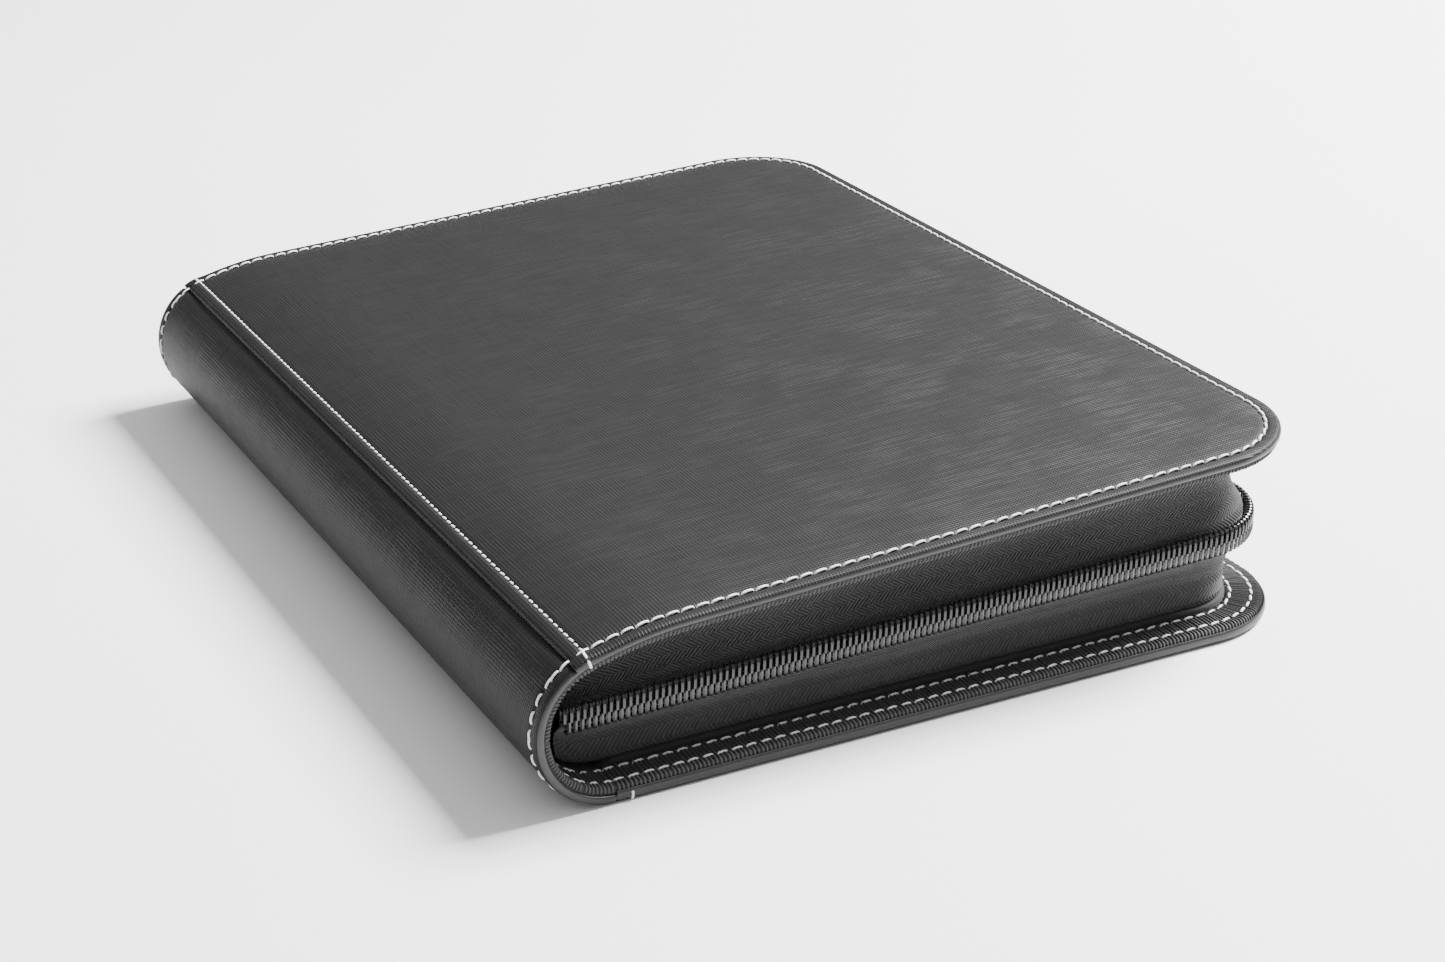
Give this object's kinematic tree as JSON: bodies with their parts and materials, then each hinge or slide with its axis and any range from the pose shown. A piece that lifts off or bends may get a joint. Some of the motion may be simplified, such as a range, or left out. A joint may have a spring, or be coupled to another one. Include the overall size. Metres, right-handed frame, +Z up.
{
  "type": "trading card binder",
  "caption": "Zip-round card binder with a rounded spine, two padded covers and side-loading pocket pages that turn as it opens flat.",
  "frame": {"origin": "middle of the closed binder's footprint, on the surface that the back cover lies on", "axes": "+X from the spine to the fore-edge, +Y along the spine to the head of the pages, +Z up from the back cover to the front cover"},
  "size_m": [0.2, 0.26, 0.0477],
  "materials": {
    "leather": "fine linen grain, satin",
    "foam": "soft foam sheet",
    "board": "grey bookbinder's board",
    "lining": "woven lining",
    "thread": "waxed thread",
    "binding": "ribbed binding tape",
    "zip_tape": "herringbone tape",
    "zip_teeth": "nylon coil",
    "zip_metal": "black enamel",
    "page_cloth": "smooth backing cloth",
    "clear_film": "clear pocket film"
  },
  "bodies": {
    "back_cover": {"back_cover_leather": "leather", "back_cover_foam": "foam", "back_cover_board": "board", "back_cover_lining": "lining", "back_cover_topstitch": "thread", "back_seam_stitch": "thread", "back_cover_binding": "binding", "back_binding_stitch": "thread", "lower_zip_tape": "zip_tape", "lower_zip_coil": "zip_teeth"},
    "front_cover": {"front_cover_leather": "leather", "front_cover_foam": "foam", "front_cover_board": "board", "front_cover_lining": "lining", "front_cover_topstitch": "thread", "front_seam_stitch": "thread", "front_cover_binding": "binding", "front_binding_stitch": "thread", "upper_zip_tape": "zip_tape", "upper_zip_coil": "zip_teeth"},
    "spine_back": {"spine_back_leather": "leather", "spine_back_board": "board", "spine_back_lining": "lining", "spine_back_end_bindings": "binding", "spine_back_end_stitches": "thread"},
    "spine_middle": {"spine_middle_leather": "leather", "spine_middle_board": "board", "spine_middle_lining": "lining", "spine_middle_end_bindings": "binding", "spine_middle_end_stitches": "thread", "page_strip": "page_cloth"},
    "spine_front": {"spine_front_leather": "leather", "spine_front_board": "board", "spine_front_lining": "lining", "spine_front_end_bindings": "binding", "spine_front_end_stitches": "thread"},
    "page_01": {"page_01_backing": "page_cloth", "page_01_pockets": "clear_film"},
    "page_02": {"page_02_backing": "page_cloth", "page_02_pockets": "clear_film"},
    "page_03": {"page_03_backing": "page_cloth", "page_03_pockets": "clear_film"},
    "page_04": {"page_04_backing": "page_cloth", "page_04_pockets": "clear_film"},
    "page_05": {"page_05_backing": "page_cloth", "page_05_pockets": "clear_film"},
    "page_06": {"page_06_backing": "page_cloth", "page_06_pockets": "clear_film"},
    "page_07": {"page_07_backing": "page_cloth", "page_07_pockets": "clear_film"},
    "page_08": {"page_08_backing": "page_cloth", "page_08_pockets": "clear_film"},
    "page_09": {"page_09_backing": "page_cloth", "page_09_pockets": "clear_film"},
    "page_10": {"page_10_backing": "page_cloth", "page_10_pockets": "clear_film"},
    "zip_slider": {"zip_slider": "zip_metal"},
    "zip_puller": {"zip_puller": "zip_metal"}
  },
  "joints": [
    {"name": "back_cover_fold", "type": "hinge", "parent": "back_cover", "child": "spine_back", "pos_m": [-0.082, 0, 0], "axis": [0, -1, 0], "range_deg": [0, 20], "deforming": ["lower_zip_tape", "lower_zip_coil"]},
    {"name": "spine_lower_fold", "type": "hinge", "parent": "spine_back", "child": "spine_middle", "pos_m": [-0.09759, 0, 0.009], "axis": [0, -1, 0], "range_deg": [0, 70]},
    {"name": "spine_upper_fold", "type": "hinge", "parent": "spine_middle", "child": "spine_front", "pos_m": [-0.09759, 0, 0.027], "axis": [0, -1, 0], "range_deg": [0, 37]},
    {"name": "front_cover_fold", "type": "hinge", "parent": "spine_front", "child": "front_cover", "pos_m": [-0.091, 0, 0.03359], "axis": [0, -1, 0], "range_deg": [0, 50.1], "deforming": ["upper_zip_tape", "upper_zip_coil"]},
    {"name": "page_01_fold", "type": "hinge", "parent": "spine_middle", "child": "page_01", "pos_m": [-0.0904, 0, 0.0072], "axis": [0, -1, 0], "range_deg": [-91.58, 0]},
    {"name": "page_02_fold", "type": "hinge", "parent": "spine_middle", "child": "page_02", "pos_m": [-0.0904, 0, 0.0096], "axis": [0, -1, 0], "range_deg": [-75.54, 0]},
    {"name": "page_03_fold", "type": "hinge", "parent": "spine_middle", "child": "page_03", "pos_m": [-0.0904, 0, 0.012], "axis": [0, -1, 0], "range_deg": [-70.81, 0]},
    {"name": "page_04_fold", "type": "hinge", "parent": "spine_middle", "child": "page_04", "pos_m": [-0.0904, 0, 0.0144], "axis": [0, -1, 0], "range_deg": [-66.07, 0]},
    {"name": "page_05_fold", "type": "hinge", "parent": "spine_middle", "child": "page_05", "pos_m": [-0.0904, 0, 0.0168], "axis": [0, -1, 0], "range_deg": [-61.33, 0]},
    {"name": "page_06_fold", "type": "hinge", "parent": "spine_middle", "child": "page_06", "pos_m": [-0.0904, 0, 0.0192], "axis": [0, -1, 0], "range_deg": [0, 58.43]},
    {"name": "page_07_fold", "type": "hinge", "parent": "spine_middle", "child": "page_07", "pos_m": [-0.0904, 0, 0.0216], "axis": [0, -1, 0], "range_deg": [0, 63.17]},
    {"name": "page_08_fold", "type": "hinge", "parent": "spine_middle", "child": "page_08", "pos_m": [-0.0904, 0, 0.024], "axis": [0, -1, 0], "range_deg": [0, 67.91]},
    {"name": "page_09_fold", "type": "hinge", "parent": "spine_middle", "child": "page_09", "pos_m": [-0.0904, 0, 0.0264], "axis": [0, -1, 0], "range_deg": [0, 72.64]},
    {"name": "page_10_fold", "type": "hinge", "parent": "spine_middle", "child": "page_10", "pos_m": [-0.0904, 0, 0.0288], "axis": [0, -1, 0], "range_deg": [0, 88.68]},
    {"name": "zip_slide", "type": "slide", "parent": "back_cover", "child": "zip_slider", "axis": [0.9997, 0, 0.0253], "range_m": [0, 0.122], "deforming": ["lower_zip_tape", "lower_zip_coil", "upper_zip_tape", "upper_zip_coil"]},
    {"name": "puller_swing", "type": "hinge", "parent": "zip_slider", "child": "zip_puller", "pos_m": [-0.058, 0.1276, 0.01983], "axis": [-0.0253, 0, 0.9997], "range_deg": [0, 180]}
  ],
  "couplings": [
    {"joint": "back_cover_fold", "follows": "spine_lower_fold", "ratio": 0.28571},
    {"joint": "spine_upper_fold", "follows": "spine_lower_fold", "ratio": 0.52857},
    {"joint": "front_cover_fold", "follows": "spine_lower_fold", "ratio": 0.71571},
    {"joint": "page_01_fold", "follows": "spine_lower_fold", "ratio": -1.3081},
    {"joint": "page_02_fold", "follows": "spine_lower_fold", "ratio": -1.079},
    {"joint": "page_03_fold", "follows": "spine_lower_fold", "ratio": -1.0113},
    {"joint": "page_04_fold", "follows": "spine_lower_fold", "ratio": -0.94364},
    {"joint": "page_05_fold", "follows": "spine_lower_fold", "ratio": -0.87597},
    {"joint": "page_06_fold", "follows": "spine_lower_fold", "ratio": 0.83454},
    {"joint": "page_07_fold", "follows": "spine_lower_fold", "ratio": 0.90221},
    {"joint": "page_08_fold", "follows": "spine_lower_fold", "ratio": 0.96987},
    {"joint": "page_09_fold", "follows": "spine_lower_fold", "ratio": 1.0375},
    {"joint": "page_10_fold", "follows": "spine_lower_fold", "ratio": 1.2666}
  ]
}
